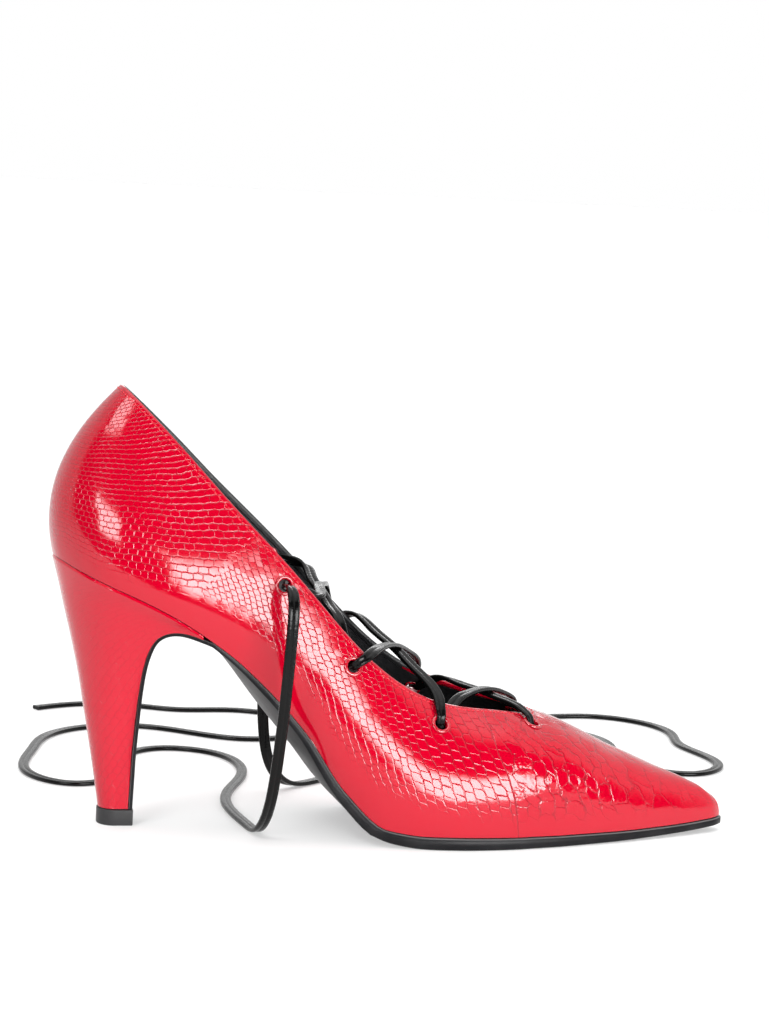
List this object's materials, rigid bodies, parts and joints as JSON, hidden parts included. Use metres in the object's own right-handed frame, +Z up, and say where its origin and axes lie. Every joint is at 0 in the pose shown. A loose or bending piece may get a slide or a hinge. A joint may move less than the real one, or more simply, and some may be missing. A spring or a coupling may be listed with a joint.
{
  "type": "lace up heel",
  "caption": "Pointed pump with a high tapering covered heel, an open laced throat and long flat laces; one shoe, right foot.",
  "frame": {"origin": "middle of the heel tip's tread, on the floor", "axes": "+X from the heel to the toe, +Y to the shoe's inner side, +Z up"},
  "size_m": [0.2766, 0.2465, 0.152],
  "materials": {
    "upper_leather": "patent, snake-embossed",
    "heel_leather": "patent, snake-embossed",
    "sole_leather": "satin",
    "lining_leather": "matte",
    "lift_rubber": "matte",
    "eyelet_enamel": "gloss",
    "lace_leather": "gloss"
  },
  "bodies": {
    "root": {"upper": "upper_leather", "insole": "lining_leather", "outsole": "sole_leather", "heel": "heel_leather", "top_lift": "lift_rubber", "eyelet_outer_1": "eyelet_enamel", "eyelet_outer_2": "eyelet_enamel", "eyelet_outer_3": "eyelet_enamel", "eyelet_outer_4": "eyelet_enamel", "eyelet_inner_1": "eyelet_enamel", "eyelet_inner_2": "eyelet_enamel", "eyelet_inner_3": "eyelet_enamel", "eyelet_inner_4": "eyelet_enamel", "lace_crossing_1": "lace_leather", "lace_crossing_2": "lace_leather", "lace_crossing_3": "lace_leather", "lace_bar": "lace_leather", "lace_end_outer": "lace_leather", "lace_end_inner": "lace_leather"}
  },
  "joints": []
}
